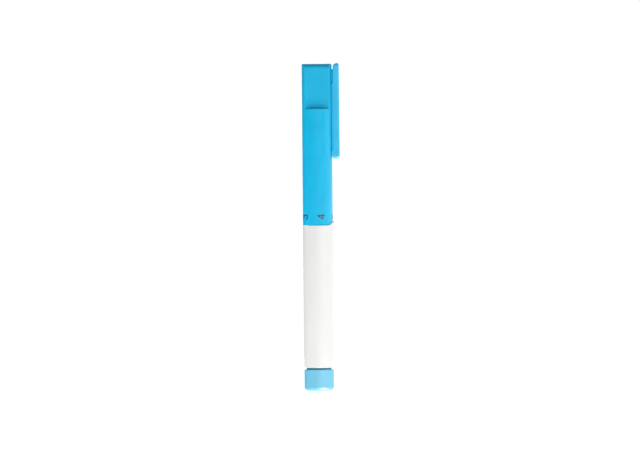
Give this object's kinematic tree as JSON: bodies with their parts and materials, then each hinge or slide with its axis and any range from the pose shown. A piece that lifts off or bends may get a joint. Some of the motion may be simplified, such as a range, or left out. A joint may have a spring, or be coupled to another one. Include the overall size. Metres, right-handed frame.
{
  "type": "periodontal probe",
  "caption": "Capped pen-form periodontal probe: clipped numbered cap turns a force dial, spring-loaded steel tip under it, white handle with a screw-in end knob.",
  "frame": {"origin": "pen axis at the flat end of the end knob", "axes": "+Z along the pen towards the capped tip, -Y the side with the cap's flat face, +X the side with the pocket clip and the pointer tab"},
  "size_m": [0.015, 0.0124, 0.1312],
  "materials": {
    "cap_blue": "satin moulded ABS, sky blue",
    "clip_blue": "satin moulded ABS, sky blue, slightly lighter",
    "number_ink": "dark teal printing ink, matt",
    "barrel_white": "white moulded ABS, satin",
    "knob_blue": "pale blue moulded ABS, satin",
    "seal_dark": "dark blue-green silicone rubber, matt",
    "dial_blue": "mid blue acetal, fine matt",
    "liner_white": "natural polypropylene, matt",
    "nose_grey": "light grey acetal, matt",
    "rack_silicone": "soft translucent blue silicone",
    "core_white": "off-white acetal, matt",
    "brass": "turned brass, bright",
    "steel": "turned stainless steel",
    "probe_steel": "polished stainless steel with dark depth bands",
    "spring_steel": "drawn stainless spring wire"
  },
  "bodies": {
    "handle": {"barrel": "barrel_white", "thread_insert": "brass", "store_tube": "liner_white", "tip_rack": "rack_silicone", "rear_guide": "core_white", "spare_tips": "probe_steel", "nose_cone": "nose_grey", "nose_bush": "brass", "retaining_ring": "spring_steel", "click_ball": "steel", "click_spring": "spring_steel"},
    "dial": {"force_dial": "dial_blue"},
    "seat": {"spring_seat": "brass"},
    "probe": {"carrier_rod": "steel", "tip_chuck": "steel", "probe_tip": "probe_steel", "force_spring": "spring_steel"},
    "cap": {"cap_shell": "cap_blue", "cap_numbers": "number_ink", "cap_liner": "liner_white", "clip_pin": "steel"},
    "clip": {"pocket_clip": "clip_blue", "clip_spring": "spring_steel"},
    "seal": {"seal_ring": "seal_dark"},
    "plug": {"end_knob": "knob_blue", "plug_core": "core_white", "plug_screw": "steel"}
  },
  "joints": [
    {"name": "dial_turn", "type": "hinge", "parent": "handle", "child": "dial", "pos_m": [0, 0, 0.0724], "axis": [0, 0, 1], "range_deg": [0, 288]},
    {"name": "seat_lift", "type": "slide", "parent": "handle", "child": "seat", "axis": [0, 0, 1], "range_m": [-0.00201, 0]},
    {"name": "probe_yield", "type": "slide", "parent": "handle", "child": "probe", "axis": [0, 0, -1], "range_m": [0, 0.0015], "stiffness_N_per_m": 60, "springref_m": -0.004, "deforming": ["force_spring"]},
    {"name": "cap_pull", "type": "slide", "parent": "dial", "child": "cap", "axis": [0, 0, 1], "range_m": [0, 0.062]},
    {"name": "clip_open", "type": "hinge", "parent": "cap", "child": "clip", "pos_m": [0.0071, 0, 0.1259], "axis": [0, -1, 0], "range_deg": [0, 5], "stiffness_Nm_per_rad": 0.02, "springref_deg": -14.32},
    {"name": "plug_travel", "type": "slide", "parent": "handle", "child": "seal", "axis": [0, 0, 1], "range_m": [-0.006, 0]},
    {"name": "plug_turn", "type": "hinge", "parent": "seal", "child": "plug", "pos_m": [0, 0, 0.0046], "axis": [0, 0, 1], "range_deg": [-1081, 0]}
  ],
  "couplings": [
    {"joint": "seat_lift", "follows": "dial_turn", "m_per_rad": -0.00039789},
    {"joint": "plug_turn", "follows": "plug_travel", "rad_per_m": 3141.6}
  ]
}
